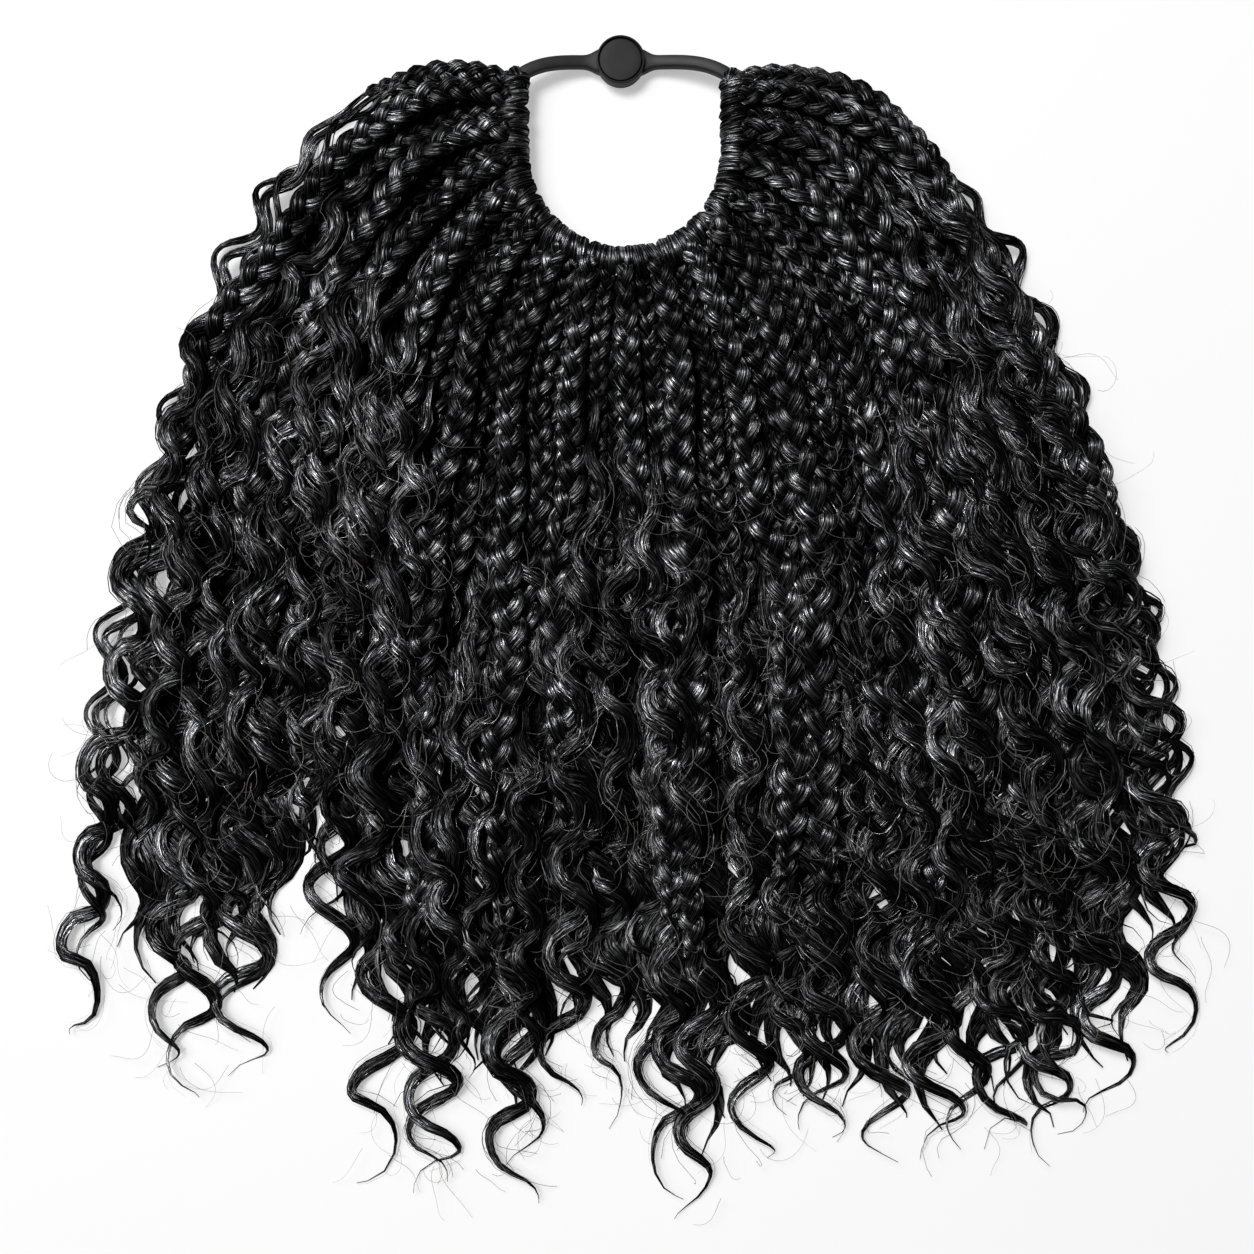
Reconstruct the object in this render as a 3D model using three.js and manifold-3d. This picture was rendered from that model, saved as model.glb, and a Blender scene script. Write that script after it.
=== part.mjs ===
// A braided ponytail extension, laid flat with its loop open: a moulded elastic band that closes on
// a round button, and a fan of plaits that are looped round the band and end in curls.
// Millimetres, +Z up, +Y towards the button. Everything is drawn about the middle of the laid-out hair,
// and the whole part is then moved so that its box stands on z = 0, centred on the origin.
import * as THREE from "three";
import { mergeVertices } from "three/addons/utils/BufferGeometryUtils.js";
import Module from "manifold-3d";

// Driving dimensions
const GAP = 0.35; // clearance between pieces that touch on the real object
const LOOP = { halfWidth: 33.3, side: 21, centreX: -0.7, centreY: 140.8, z: 7.8, cornerRadius: 2.2 };
const BAND = { width: 3.6, thickness: 3.2, chamfer: 0.6, flareWidth: 7, flareReach: 11.5 };
const BUTTON = { x: -1.9, capRadius: 6.35, baseRadius: 6.8, shankRadius: 3, height: 6.1, sides: 20 };
const EYELET = { radius: 7.2, low: 1.9, seat: 4.2, high: 6.5, crestY: 168.3, drop: 4.4 };
const BRAID = { count: 31, width: 7.6, thickness: 7.0, lowZ: 3.55, highZ: 11.2, sections: 6 };
const TAPER = { root: 0.68, end: 0.86 };
const PLAIT_SHARE = { edge: 0.24, inside: 0.64 }; // of a lane; the outermost plaits open into curls early
const NECK = { width: 3.2, thickness: 5, from: 3.1, to: 15, drop: 0.12 };
const WRAP = { width: 3.3, radius: 4.3, sides: 6 };
const FAN = { centreX: 3, halfWidth: 168, sideY: -79, depth: 98, flatness: 2.6, rimMargin: 0.01 };
const TURN = { reach: 52, sideReachLeft: 24, sideReachRight: 16, bendIn: 5, bendUp: 95, sideBendUp: 55 };
const RISE = { left: 0.47, right: 0.42, from: 0.72 }; // how far the top plaits climb before they turn down
const CURL = { start: 5, wave: 29, sway: 5.8, rise: 1.4, swellBy: 0.3, fade: 0.25, stepsPerWave: 5 };
const FALL = { from: 0.15, to: 0.6 }; // of a curl, where it comes down to the floor
const STRAND = { thickness: 3.8, flatness: 1.4, tip: 1.3 };
const LOOSE = { every: 4, first: 1, from: 0.26, to: 0.7, z: 17.2, sway: 6.2, thickness: 3.4 };

// Where the curls end: the lower edge of the laid-out hair, from left to right.
const END_OUTLINE = [
  { x: -176, y: -79 },
  { x: -158, y: -115 },
  { x: -134, y: -139 },
  { x: -108, y: -133 },
  { x: -98, y: -82 },
  { x: -87, y: -108 },
  { x: -74, y: -162 },
  { x: -38, y: -173 },
  { x: -20, y: -143 },
  { x: -2, y: -148 },
  { x: 23, y: -178 },
  { x: 47, y: -145 },
  { x: 82, y: -160 },
  { x: 106, y: -154 },
  { x: 128, y: -168 },
  { x: 148, y: -149 },
  { x: 164, y: -112 },
  { x: 180, y: -79 },
];

const UP = new THREE.Vector3(0, 0, 1);
const hair = new THREE.MeshStandardMaterial({ color: 0x17171a, roughness: 0.45, metalness: 0 });
const silicone = new THREE.MeshStandardMaterial({ color: 0x1f1f21, roughness: 0.55, metalness: 0 });
const plastic = new THREE.MeshStandardMaterial({ color: 0x252527, roughness: 0.5, metalness: 0 });

const { smoothstep, lerp, clamp } = THREE.MathUtils;
const wasm = await Module();
wasm.setup();

// Solids

// A closed geometry as a manifold-3d solid.
function solidOf(geometry) {
  const bare = new THREE.BufferGeometry().setAttribute("position", geometry.getAttribute("position"));
  bare.setIndex(geometry.index);
  const merged = mergeVertices(bare, 1e-4);
  return new wasm.Manifold(
    new wasm.Mesh({
      numProp: 3,
      vertProperties: new Float32Array(merged.getAttribute("position").array),
      triVerts: new Uint32Array(merged.index.array),
    }),
  );
}

// A solid as a named mesh.
function meshOf(name, solid, material) {
  const made = solid.getMesh();
  const geometry = new THREE.BufferGeometry();
  geometry.setAttribute("position", new THREE.BufferAttribute(new Float32Array(made.vertProperties), 3));
  geometry.setIndex(new THREE.BufferAttribute(new Uint32Array(made.triVerts), 1));
  geometry.computeVertexNormals();
  const mesh = new THREE.Mesh(geometry, material);
  mesh.name = name;
  return mesh;
}

// Skins a row of rings, each a list of points that turns counter-clockwise about the way the row runs.
// Points of a ring may fall together, which gives that end of the row fewer sides.
function loft(rings, closed = false) {
  const sides = rings[0].length;
  const points = rings.flat();
  const index = [];
  const apart = (a, b) => points[a].distanceTo(points[b]) > 1e-6;
  const add = (a, b, c) => {
    if (apart(a, b) && apart(b, c) && apart(c, a)) index.push(a, b, c);
  };
  const spans = closed ? rings.length : rings.length - 1;
  for (let i = 0; i < spans; i++) {
    const here = i * sides;
    const next = ((i + 1) % rings.length) * sides;
    for (let j = 0; j < sides; j++) {
      const k = (j + 1) % sides;
      add(here + j, here + k, next + j);
      add(here + k, next + k, next + j);
    }
  }
  if (!closed) {
    const last = (rings.length - 1) * sides;
    for (let j = 1; j < sides - 1; j++) {
      add(0, j + 1, j);
      add(last, last + j, last + j + 1);
    }
  }
  const positions = points.flatMap((p) => [p.x, p.y, p.z]);
  const geometry = new THREE.BufferGeometry();
  geometry.setAttribute("position", new THREE.Float32BufferAttribute(positions, 3));
  geometry.setIndex(index);
  return solidOf(geometry);
}

// Rings along a row of stations. A station has its centre and its section, with a width and a thickness
// that scale the section's points; the section's x runs to the left of the row and its y upwards.
function sweep(stations, closed = false) {
  const count = stations.length;
  const rings = stations.map((station, i) => {
    const before = stations[closed ? (i + count - 1) % count : Math.max(i - 1, 0)].centre;
    const after = stations[closed ? (i + 1) % count : Math.min(i + 1, count - 1)].centre;
    const along = after.clone().sub(before).normalize();
    const left = UP.clone().cross(along).normalize();
    const lift = along.clone().cross(left);
    return station.section.map((p) =>
      station.centre
        .clone()
        .addScaledVector(left, p.x * station.width)
        .addScaledVector(lift, p.y * station.thickness),
    );
  });
  return loft(rings, closed);
}

// A regular polygon of unit width and height, with a flat side underneath.
function polygon(sides) {
  return Array.from({ length: sides }, (_, i) => {
    const angle = ((i + 0.5) / sides) * 2 * Math.PI - Math.PI / 2;
    const reach = 0.5 / Math.cos(Math.PI / sides);
    return new THREE.Vector2(Math.cos(angle) * reach, Math.sin(angle) * reach);
  });
}
const HEXAGON = polygon(6);
// A lock is three-sided; its corners are doubled so that it can grow out of a hexagon.
const CORNERS = [new THREE.Vector2(0.5, -0.5), new THREE.Vector2(0, 0.5), new THREE.Vector2(-0.5, -0.5)];
const LOCK = CORNERS.flatMap((corner) => [corner, corner]);

// The loop: a half circle below two straight sides

const RIM_LENGTH = Math.PI * LOOP.halfWidth + 2 * LOOP.side;

// A point of the rim and its outward direction, from the top left end (share 0) to the top right (1).
function rim(share) {
  const s = share * RIM_LENGTH;
  if (s < LOOP.side) {
    return { x: LOOP.centreX - LOOP.halfWidth, y: LOOP.centreY + LOOP.side - s, outX: -1, outY: 0 };
  }
  if (s > RIM_LENGTH - LOOP.side) {
    const y = LOOP.centreY + s - (RIM_LENGTH - LOOP.side);
    return { x: LOOP.centreX + LOOP.halfWidth, y, outX: 1, outY: 0 };
  }
  const angle = Math.PI + (s - LOOP.side) / LOOP.halfWidth;
  const [outX, outY] = [Math.cos(angle), Math.sin(angle)];
  return {
    x: LOOP.centreX + LOOP.halfWidth * outX,
    y: LOOP.centreY + LOOP.halfWidth * outY,
    outX,
    outY,
  };
}

// The strap's height on the page where it crosses the top of the loop.
function strapY(x) {
  const offset = BUTTON.x - LOOP.centreX;
  const span = x < BUTTON.x ? LOOP.halfWidth + offset : LOOP.halfWidth - offset;
  return EYELET.crestY - EYELET.drop * ((x - BUTTON.x) / span) ** 2;
}

// The closed centre line of the band: down the left side, round the rim, up the right and back over the top.
function bandStations() {
  const rimSteps = 26;
  const strapSteps = 14;
  const cornerSteps = 3;
  const stations = [];
  const section = bandSection();
  const { thickness } = BAND;
  const add = (x, y, z, width) =>
    stations.push({ centre: new THREE.Vector3(x, y, z), section, width, thickness });
  for (let i = 0; i <= rimSteps; i++) {
    const p = rim(i / rimSteps);
    add(p.x, p.y - (i === 0 || i === rimSteps ? LOOP.cornerRadius : 0), LOOP.z, BAND.width);
  }
  const strapZ = EYELET.low + BAND.thickness / 2;
  const endX = LOOP.halfWidth - LOOP.cornerRadius;
  const corner = (side, turn) => {
    const angle = side > 0 ? turn : Math.PI - turn;
    const x = LOOP.centreX + side * endX;
    const top = strapY(x);
    add(
      x + LOOP.cornerRadius * Math.cos(angle),
      top - LOOP.cornerRadius * (1 - Math.sin(angle)),
      LOOP.z,
      BAND.width,
    );
  };
  for (let i = 1; i <= cornerSteps; i++) corner(1, (i / (cornerSteps + 1)) * (Math.PI / 2));
  for (let i = 0; i <= strapSteps; i++) {
    const x = LOOP.centreX + lerp(endX, -endX, i / strapSteps);
    const near = Math.abs(x - BUTTON.x);
    const flare = 1 - smoothstep(near, EYELET.radius - 1.5, BAND.flareReach);
    const height = lerp(LOOP.z, strapZ, 1 - smoothstep(near, EYELET.radius, endX));
    add(x, strapY(x), height, lerp(BAND.width, BAND.flareWidth, flare ** 2));
  }
  for (let i = cornerSteps; i >= 1; i--) corner(-1, (i / (cornerSteps + 1)) * (Math.PI / 2));
  return stations;
}

// The band's section: flat below, with its two upper edges chamfered.
function bandSection() {
  const [x, y] = [BAND.chamfer / BAND.width, BAND.chamfer / BAND.thickness];
  return [
    new THREE.Vector2(-0.5, -0.5),
    new THREE.Vector2(0.5, -0.5),
    new THREE.Vector2(0.5, 0.5 - y),
    new THREE.Vector2(0.5 - x, 0.5),
    new THREE.Vector2(x - 0.5, 0.5),
    new THREE.Vector2(-0.5, 0.5 - y),
  ];
}

// A solid turned about the button's axis from a profile of [radius, height] pairs.
function turned(profile) {
  const points = profile.map(([radius, height]) => new THREE.Vector2(radius, height));
  const geometry = new THREE.LatheGeometry(points, BUTTON.sides);
  geometry.rotateX(Math.PI / 2); // the lathe turns about Y, and the button about Z
  geometry.translate(BUTTON.x, EYELET.crestY, 0);
  return solidOf(geometry);
}

// The band: its strap widens into an eyelet, whose collar stands round the button's cap.
function elasticBand() {
  const { radius, low, seat, high } = EYELET;
  const bevel = 0.4;
  const eyelet = turned([
    [0, low],
    [radius, low],
    [radius, high - bevel],
    [radius - bevel, high],
    [0, high],
  ]);
  const hole = turned([
    [0, low - 1],
    [BUTTON.shankRadius + GAP, low - 1],
    [BUTTON.shankRadius + GAP, seat],
    [BUTTON.capRadius + GAP, seat],
    [BUTTON.capRadius + GAP, high + 1],
    [0, high + 1],
  ]);
  const strap = sweep(bandStations(), true);
  return meshOf("elastic_band", strap.add(eyelet).subtract(hole), silicone);
}

// The button: a base plate under the eyelet, a shank through it and a cap set in its collar.
function button() {
  const { capRadius, baseRadius, shankRadius, height } = BUTTON;
  const edge = 0.5;
  return meshOf(
    "button",
    turned([
      [0, 0],
      [baseRadius - edge, 0],
      [baseRadius, edge],
      [baseRadius, EYELET.low - GAP],
      [shankRadius, EYELET.low - GAP],
      [shankRadius, EYELET.seat + GAP],
      [capRadius, EYELET.seat + GAP],
      [capRadius, height - edge],
      [capRadius - edge, height],
      [0, height],
    ]),
    plastic,
  );
}

// Lanes: the fan of lines that the hair follows, one for each place on the rim

// The end of a lane on the fan's lower edge.
function fanEnd(share) {
  const across = 2 * share - 1;
  const fall = (1 - Math.abs(across) ** FAN.flatness) ** (1 / FAN.flatness);
  return new THREE.Vector2(FAN.centreX + FAN.halfWidth * across, FAN.sideY - FAN.depth * fall);
}

// A lane leaves the rim square to it, rises a little at the sides, and turns down to its end.
function lane(share) {
  const root = rim(share);
  const across = 2 * share - 1;
  const side = across * across;
  const climb = clamp((Math.abs(across) - RISE.from) / (1 - RISE.from), 0, 1);
  const rise = climb * (across < 0 ? RISE.left : RISE.right);
  const start = new THREE.Vector2(root.x, root.y);
  const out = new THREE.Vector2(root.outX, root.outY + rise).normalize();
  const end = fanEnd(share);
  const reach = TURN.reach + side * (across < 0 ? TURN.sideReachLeft : TURN.sideReachRight);
  const bend = end.clone();
  bend.x -= Math.sign(across) * TURN.bendIn * side;
  bend.y += TURN.bendUp + TURN.sideBendUp * side;
  const first = start.clone().addScaledVector(out, reach);
  return new THREE.CubicBezierCurve(start, first, bend, end);
}

// The height on the page of the hair's lower edge at x.
function outlineY(x) {
  const after = END_OUTLINE.findIndex((row) => row.x >= x);
  const [a, b] = [END_OUTLINE[after - 1], END_OUTLINE[after]];
  return lerp(a.y, b.y, (x - a.x) / (b.x - a.x));
}

// The length of a lane down to an edge, which gives a height on the page for each x.
function crossing(curve, edge) {
  const steps = 240;
  const full = curve.getLength();
  for (let i = steps / 2; i < steps; i++) {
    const p = curve.getPointAt(i / steps);
    if (p.y < edge(p.x)) return (full * i) / steps;
  }
  return full;
}

// A point beside a lane: s along it, sway to the left of its run, and z above the floor.
function beside(curve, s, sway, z) {
  const share = s / curve.getLength();
  const p = curve.getPointAt(share);
  const along = curve.getTangentAt(share);
  return new THREE.Vector3(p.x - along.y * sway, p.y + along.x * sway, z);
}

// Hair

// The wrap that loops a plait round the band.
function wrap(root) {
  const hole = { x: BAND.width / 2 + GAP, y: BAND.thickness / 2 + GAP };
  const outline = new THREE.Shape(polygon(WRAP.sides).map((p) => p.multiplyScalar(2 * WRAP.radius)));
  const opening = [
    new THREE.Vector2(-hole.x, -hole.y),
    new THREE.Vector2(-hole.x, hole.y),
    new THREE.Vector2(hole.x, hole.y),
    new THREE.Vector2(hole.x, -hole.y),
  ];
  outline.holes.push(new THREE.Path(opening));
  const geometry = new THREE.ExtrudeGeometry(outline, { depth: WRAP.width, bevelEnabled: false });
  geometry.translate(0, 0, -WRAP.width / 2);
  const out = new THREE.Vector3(root.outX, root.outY, 0);
  const turn = new THREE.Matrix4().makeBasis(out, UP, out.clone().cross(UP));
  geometry.applyMatrix4(turn.setPosition(root.x, root.y, LOOP.z));
  return solidOf(geometry);
}

// The plaited length: a narrow neck out of the wrap, then a flattened rope at its own level.
function plait(curve, end, level) {
  const stations = [];
  const add = (s, z, width, thickness) =>
    stations.push({ centre: beside(curve, s, 0, z), section: HEXAGON, width, thickness });
  add(NECK.from, LOOP.z, NECK.width, NECK.thickness);
  add(WRAP.radius + 1, lerp(LOOP.z, level, NECK.drop), NECK.width, NECK.thickness);
  for (let i = 0; i <= BRAID.sections; i++) {
    const s = lerp(NECK.to, end, (i / BRAID.sections) ** 1.4); // closer together where the fan turns most
    const taper = i === 0 || i === BRAID.sections ? TAPER.end : 1;
    add(s, level, BRAID.width * (i === 0 ? TAPER.root : taper), BRAID.thickness * taper);
  }
  return stations;
}

// A curled lock beside a lane. Its waves are counted from where the lane crosses the fan's side, so
// that neighbours lie one in another.
function lock(curve, from, to, size) {
  const steps = Math.round(((to - from) / CURL.wave) * CURL.stepsPerWave);
  const origin = crossing(curve, () => FAN.sideY);
  return Array.from({ length: steps + 1 }, (_, i) => {
    const share = i / steps;
    const s = lerp(from, to, share);
    const angle = (2 * Math.PI * (s - origin)) / CURL.wave;
    const swell = smoothstep(share, 0, CURL.swellBy) * (1 - CURL.fade * share);
    const sway = size.sway * swell * Math.sin(angle);
    const z = lerp(size.fromZ, size.toZ, smoothstep(share, size.fallFrom, size.fallTo));
    const thick = lerp(size.thickness, STRAND.tip, share ** 2);
    const lift = CURL.rise * swell * (1 + Math.cos(angle)) - (size.thickness - thick) / 2;
    const centre = beside(curve, s, sway, z + lift);
    return { centre, section: LOCK, width: thick * STRAND.flatness, thickness: thick };
  });
}

// One braid: its wrap, its plait and the curl that it ends in. Odd ones lie on the even ones, and
// some of those carry a loose curl on top.
function braid(i) {
  const share = lerp(FAN.rimMargin, 1 - FAN.rimMargin, i / (BRAID.count - 1));
  const curve = lane(share);
  const length = crossing(curve, outlineY);
  const atEdge = i === 0 || i === BRAID.count - 1;
  const above = i % 2 === 1;
  const level = above ? BRAID.highZ : BRAID.lowZ;
  const end = length * (atEdge ? PLAIT_SHARE.edge : PLAIT_SHARE.inside);
  const tail = lock(curve, end + CURL.start, length, {
    sway: CURL.sway,
    thickness: STRAND.thickness,
    fromZ: above ? BRAID.highZ : STRAND.thickness / 2,
    toZ: STRAND.thickness / 2,
    fallFrom: FALL.from,
    fallTo: FALL.to,
  });
  let made = wrap(rim(share)).add(sweep([...plait(curve, end, level), ...tail]));
  if (above && (i - LOOSE.first) % LOOSE.every === 0) {
    const loose = lock(curve, length * LOOSE.from, length * LOOSE.to, {
      sway: LOOSE.sway,
      thickness: LOOSE.thickness,
      fromZ: BRAID.highZ + BRAID.thickness / 2,
      toZ: LOOSE.z,
      fallFrom: 0,
      fallTo: 0.1,
    });
    made = made.add(sweep(loose));
  }
  return meshOf(`braid_${String(i + 1).padStart(2, "0")}`, made, hair);
}

// The whole part, stood on z = 0 and centred on the origin

const ponytail = new THREE.Group();
ponytail.add(elasticBand(), button());
for (let i = 0; i < BRAID.count; i++) ponytail.add(braid(i));
const box = new THREE.Box3().setFromObject(ponytail);
const centre = box.getCenter(new THREE.Vector3());
ponytail.position.set(-centre.x, -centre.y, -box.min.z);

export default ponytail;
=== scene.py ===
"""A braided ponytail extension laid flat: an elastic band that closes on a round button, and a fan of
plaits that are looped round the band and end in loose curls.

Sizes are in millimetres, drawn about the middle of the laid-out hair, with +Y towards the button, and
are moved into the frame (in metres) when a mesh is made. A pair is the least and the most of what
varies at random or, where its name ends in over, the stretch over which something grows.
"""

import math
from collections import namedtuple
from types import SimpleNamespace as Sizes

import bpy
import numpy as np
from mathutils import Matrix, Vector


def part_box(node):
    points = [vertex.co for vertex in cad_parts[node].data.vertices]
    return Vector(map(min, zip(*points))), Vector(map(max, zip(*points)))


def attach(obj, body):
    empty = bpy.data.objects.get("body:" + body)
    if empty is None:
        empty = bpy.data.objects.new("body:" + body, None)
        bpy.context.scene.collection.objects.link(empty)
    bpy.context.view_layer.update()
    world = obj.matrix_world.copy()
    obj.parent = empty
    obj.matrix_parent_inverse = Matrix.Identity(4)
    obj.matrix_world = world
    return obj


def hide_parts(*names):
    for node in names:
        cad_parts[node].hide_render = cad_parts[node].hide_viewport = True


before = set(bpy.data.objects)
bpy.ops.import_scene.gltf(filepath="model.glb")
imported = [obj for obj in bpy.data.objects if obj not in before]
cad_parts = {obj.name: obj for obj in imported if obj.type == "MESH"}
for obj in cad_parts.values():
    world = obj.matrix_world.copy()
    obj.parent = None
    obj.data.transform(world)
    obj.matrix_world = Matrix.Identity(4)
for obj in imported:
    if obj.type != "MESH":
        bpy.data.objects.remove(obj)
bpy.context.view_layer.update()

MM = 0.001
UP = np.array([0.0, 0.0, 1.0])
FLOOR_GAP = 0.03
TAU = 2 * math.pi
rng = np.random.default_rng(31)

# The loop, the band and the button
LOOP = Sizes(half_width=33.3, side=21.0, x=-0.7, y=140.8, z=7.8, corner=2.2)
BAND = Sizes(width=3.6, thickness=3.2, chamfer=0.6, flare_width=7.4, flare_inside=1.5, flare_reach=12.5)
BAND_ROWS = Sizes(rim=90, corner=8, strap=110, least_step=0.5)
STRAP = Sizes(drop=7.2, power=4)  # how it falls from the eyelet to its ends
BUTTON = Sizes(x=-1.9, y=168.3, cap=6.35, base=6.8, shank=3.0, height=6.1, edge=0.45, top_ring=0.6)
EYELET = Sizes(radius=7.2, low=1.9, seat=4.2, high=6.5, bevel=0.4, ease=0.3, play=0.25, lip=0.25)
GAP = 0.35
TURNED = Sizes(sides=96, edge_rows=5, axis=0.01)  # axis: the radius of the disc that closes each end
CUTTER = Sizes(past=1.0, over=0.01)  # how far it stands out of what it cuts
SHARP = math.radians(40)

# The fan of lanes that the hair follows
BRAIDS = 31
FAN = Sizes(x=3.0, half_width=168.0, side_y=-79.0, depth=98.0, flatness=2.6)
MARGIN = Sizes(rim=0.01, edge=0.005)  # shares of the rim outside the outer braids and past all plaits
TURN = Sizes(reach=52.0, left=24.0, right=16.0, bend_in=5.0, bend_up=95.0, side_bend_up=55.0)
RISE = Sizes(left=0.47, right=0.42, start=0.72)
LANE_STEPS = 400
DRIFT = Sizes(long=130.0, long_share=0.6, short=57.0, short_share=0.4)

# Heights above the floor, from the locks under the fan to the loose curls on top of it
LEVEL = Sizes(under=1.2, tip=3.2, low=3.9, middle=6.6, between=8.2, high=11.8, loose=15.2)

# The turns of hair round the band
KNOT = Sizes(
    count=52,
    rows=18,
    reach=3.4,
    rise=2.8,
    inward=0.6,
    half_width=1.9,
    half_thick=1.3,
    slant=0.3,
    slants=(-0.5, 1.5),
    sizes=(0.82, 1.25),
    shift=(-0.3, 0.3),
    widths=(0.9, 1.1),
    thicknesses=(0.85, 1.2),
    uneven=(0.85, 1.1),
    shine=(0.5, 0.78),
    at_corner=5,
    corner_size=0.8,
)

# Plaits, and how they grow and stray along their lanes
PLAIT = Sizes(
    start=0.6,
    period=20.0,
    pace=(0.92, 1.08),
    sway=2.5,
    dive=0.9,
    plateau=2.0,  # how abruptly a strand passes from over its neighbour to under it
    half_width=1.85,
    half_thick=1.15,
    slim=0.9,  # a strand's size, and how much it swells where it lies on top
    swell=0.14,
    tilt=0.5,
    roll=0.35,
    roll_drift=0.4,
    settle=22.0,  # the length over which a plait comes to its own height
    bob=0.5,
    bob_length=71.0,
    shine=(0.75, 1.0),
)
GROWTH = Sizes(root=0.8, young=28.0, full=1.22, grown=120.0, end=0.6, end_length=24.0)
STRAY = Sizes(drift=2.6, drift_over=(4.0, 70.0), lean=7.0, lean_over=(20.0, 150.0))
SPARE = Sizes(start=6.0, size=0.95, plaited=(0.45, 0.7))  # the plaits between the braids

# Curls: the wave of a curl, its lock of hair, the strands on the lock, and single hairs
CURL = Sizes(
    wave=29.0,
    sway=6.8,
    rise=3.0,
    tilt=0.7,
    crowd=0.28,
    uneven=0.5,
    least_rows=10,
    grown_over=(0.1, 0.7),  # from here to hook_from: shares of the curl's length
    aside_by=0.35,
    wander_by=0.2,
    level_by=0.25,
    hook_from=0.8,
    reach=(0.8, 0.97),
    overlap=6.0,  # how far a curl starts inside its plait, and the second one before the first
    second=16.0,
    edge_aside=3.5,  # the second curl at a side lies this far inward
)
LOCK = Sizes(
    half_width=2.7,
    half_thick=1.3,
    full_over=(-0.1, 0.14),
    end=0.75,
    tip=0.05,
    tip_length=30.0,
    uneven=(0.82, 1.1),
    shine=(0.4, 0.78),
)
STRAND = Sizes(
    thin=0.16,
    thick=0.3,
    flat=0.8,
    spread=1.1,
    brow=1.3,
    lift=(0.8, 1.05),
    frayed=0.5,
    own=1.2,  # how much a strand's wave departs from its lock's, in the four ways below
    late=0.25,
    early=0.06,
    wide=0.06,
    high=0.3,
    weave=0.3,
    weave_waves=(1.3, 3.0),
    stop=(0.84, 1.0),
    tip=0.12,
    tip_from=0.6,
    shine=(0.2, 0.8),
)
FRIZZ = Sizes(radius=0.085, rows=9, own=2.2, start=(0.1, 0.85), stray=3.5, rise=(0.5, 3.0))
BACKING = Sizes(start=1.0, reach=(0.88, 0.99))
LOOSE = Sizes(start=(0.0, 0.2), length=(0.36, 0.56))  # shares of the lane
FLYAWAY = Sizes(
    count=30,
    rows=12,
    first=0.24,  # the share of the lane from where they start, and the one on the outer braids
    outer_first=0.36,
    outer=3,
    last=0.98,
    aside=4.0,
    length=(8.0, 24.0),
    turn=0.7,
    bend=2.2,
    waver=0.4,
    wavers=(0.4, 1.2),
    high=18.0,
    low=5.0,
    fall_from=0.55,
    level=(-2.5, 1.5),
    arch=2.0,
    droop=3.0,
    least_z=0.3,
    radius=(0.05, 0.09),
    taper=0.5,
    limit=185.0,  # no hair reaches further than this from the middle
)
# Single hairs are coloured lighter and browner than the black locks: a painted highlight for the light
# that thin hairs catch and let through.
SINGLE = 1.0  # the tint of single hairs, which are browner; locks and strands have less
FIBRE = Sizes(stretch=0.05, span=400.0)  # the pattern's pace along a strand, and where it may start

# The floor and the camera; the stage is in metres
STAGE = Sizes(radius=2.0, height=2.6, bend=1.0, bend_rows=12, sides=96)
CAMERA = Sizes(height=520.0, half_width=188.1)  # half of the floor's width in the square picture

# The lower edge of the laid-out hair, from left to right
Edge = namedtuple("Edge", "x y")
END_OUTLINE = (
    Edge(-176, -79),
    Edge(-158, -115),
    Edge(-134, -139),
    Edge(-108, -133),
    Edge(-98, -82),
    Edge(-87, -108),
    Edge(-74, -162),
    Edge(-38, -173),
    Edge(-20, -143),
    Edge(-2, -148),
    Edge(23, -178),
    Edge(47, -145),
    Edge(82, -160),
    Edge(106, -154),
    Edge(128, -168),
    Edge(148, -149),
    Edge(164, -112),
    Edge(180, -79),
)

# How the hair lies from left to right: the share of each lane that is plaited, the loose curls that lie
# on the plaits between two shares of their lane, and the share by which all but the main locks stop
# short of the lower edge
Zone = namedtuple("Zone", "last plaited loose start end short")
ZONES = (
    Zone(0, 0.24, 1, 0.22, 0.62, 0.03),
    Zone(4, 0.50, 2, 0.12, 0.76, 0.04),
    Zone(8, 0.58, 3, 0.12, 0.80, 0.04),
    Zone(13, 0.72, 1, 0.34, 0.86, 0.05),
    Zone(16, 0.68, 2, 0.14, 0.76, 0.05),
    Zone(18, 0.76, 1, 0.30, 0.66, 0.03),
    Zone(22, 0.79, 0, 0.40, 0.90, 0.00),
    Zone(25, 0.70, 2, 0.19, 0.84, 0.00),
    Zone(29, 0.50, 3, 0.13, 0.80, 0.00),
    Zone(30, 0.35, 1, 0.32, 0.70, 0.00),
)


# Small helpers


def smoothstep(x, low, high):
    t = np.clip((x - low) / (high - low), 0, 1)
    return t * t * (3 - 2 * t)


def unit(v):
    return v / np.maximum(np.linalg.norm(v, axis=-1, keepdims=True), 1e-9)


def mix(a, b, t):
    return a + (b - a) * t


def lifted(xy, z):
    """Points of the page at heights z."""
    return np.column_stack([xy, np.broadcast_to(z, len(xy))])


def circle(sides, first=0.0):
    """Points round a circle of radius 1, the first of them a share of a step along."""
    angle = TAU * (np.arange(sides) + first) / sides
    return np.column_stack([np.cos(angle), np.sin(angle)])


def rings(profile, sides):
    """Rings of points about an upright axis, from rows of radius and height."""
    return np.concatenate([lifted(circle(sides) * radius, z) for radius, z in profile])


def ring_faces(rows, sides, closed=False):
    """The quads between rows of points, where each row is a ring."""
    j = np.arange(sides)
    k = (j + 1) % sides
    row = np.arange(rows if closed else rows - 1)[:, None]
    here = row * sides
    after = (row + 1) % rows * sides
    return np.stack([here + j, here + k, after + k, after + j], -1).reshape(-1, 4)


def frame_shift():
    """From the drawing to the frame: the button's middle is known in both."""
    low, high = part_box("button")
    middle = (np.array(low) + np.array(high)) / 2 / MM
    return np.array([middle[0] - BUTTON.x, middle[1] - BUTTON.y, 0.0])


SHIFT = frame_shift()


# Meshes


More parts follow.
